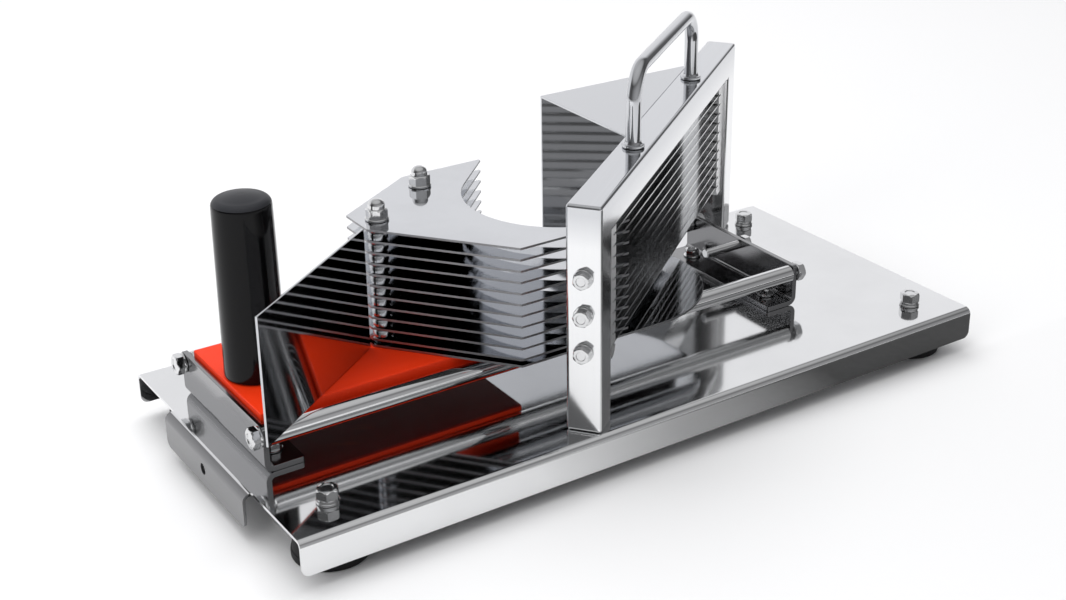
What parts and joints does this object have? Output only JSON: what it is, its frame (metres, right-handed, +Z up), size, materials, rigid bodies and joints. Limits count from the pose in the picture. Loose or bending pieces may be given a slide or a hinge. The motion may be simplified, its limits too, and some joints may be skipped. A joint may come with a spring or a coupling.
{
  "type": "vegetable slicer",
  "caption": "Hand pushed slicer: a carriage of thin fins slides on two rods and drives vegetables through a frame of level blades.",
  "frame": {"origin": "middle of the outer box on the surface that the rubber feet stand on", "axes": "+X along the slide, from the push handle towards the blades; +Z up; +Y to the far side, where the rear guard is"},
  "size_m": [0.435, 0.201, 0.1935],
  "materials": {
    "base_mirror": "mirror polished stainless sheet",
    "bracket_steel": "satin stainless sheet",
    "frame_steel": "satin stainless square tube",
    "rod_steel": "ground and polished stainless rod",
    "fastener_steel": "bright stainless hexagon hardware",
    "fin_steel": "mirror polished stainless sheet with bright cut edges",
    "spacer_steel": "turned stainless tube",
    "blade_steel": "ground stainless strip",
    "holder_steel": "machined stainless bar",
    "grip_steel": "polished stainless rod",
    "guard_steel": "mirror polished stainless sheet",
    "board_red": "red orange food board, fine texture",
    "handle_black": "black, glossy with a satin rounded top",
    "foot_rubber": "black moulded rubber"
  },
  "bodies": {
    "base": {"base_plate": "base_mirror", "rubber_foot_1": "foot_rubber", "rubber_foot_2": "foot_rubber", "rubber_foot_3": "foot_rubber", "rubber_foot_4": "foot_rubber", "foot_bolt_1": "fastener_steel", "foot_bolt_2": "fastener_steel", "foot_bolt_3": "fastener_steel", "foot_bolt_4": "fastener_steel", "left_rail_bracket": "bracket_steel", "right_rail_bracket": "bracket_steel", "near_guide_rod": "rod_steel", "far_guide_rod": "rod_steel", "left_rod_bolt_1": "fastener_steel", "left_rod_bolt_2": "fastener_steel", "right_rod_bolt_1": "fastener_steel", "right_rod_bolt_2": "fastener_steel", "stop_pin": "fastener_steel", "stop_nut": "fastener_steel", "blade_frame": "frame_steel", "slicing_blade_01": "blade_steel", "slicing_blade_02": "blade_steel", "slicing_blade_03": "blade_steel", "slicing_blade_04": "blade_steel", "slicing_blade_05": "blade_steel", "slicing_blade_06": "blade_steel", "slicing_blade_07": "blade_steel", "slicing_blade_08": "blade_steel", "slicing_blade_09": "blade_steel", "slicing_blade_10": "blade_steel", "slicing_blade_11": "blade_steel", "near_blade_holder": "holder_steel", "far_blade_holder": "holder_steel", "tension_bolt_1": "fastener_steel", "tension_bolt_2": "fastener_steel", "tension_bolt_3": "fastener_steel", "carry_handle": "grip_steel", "rear_guard": "guard_steel"},
    "carriage": {"slide_board": "board_red", "support_plate": "fin_steel", "pusher_fin_01": "fin_steel", "pusher_fin_02": "fin_steel", "pusher_fin_03": "fin_steel", "pusher_fin_04": "fin_steel", "pusher_fin_05": "fin_steel", "pusher_fin_06": "fin_steel", "pusher_fin_07": "fin_steel", "pusher_fin_08": "fin_steel", "pusher_fin_09": "fin_steel", "pusher_fin_10": "fin_steel", "pusher_fin_11": "fin_steel", "fin_spacers_1": "spacer_steel", "fin_spacers_2": "spacer_steel", "stack_stud_1": "fastener_steel", "stack_stud_2": "fastener_steel", "acorn_nut_1": "fastener_steel", "acorn_nut_2": "fastener_steel", "hand_guard": "guard_steel", "push_handle": "handle_black", "handle_bolt": "fastener_steel"}
  },
  "joints": [
    {"name": "carriage_slide", "type": "slide", "parent": "base", "child": "carriage", "axis": [1, 0, 0], "range_m": [0, 0.158]}
  ]
}
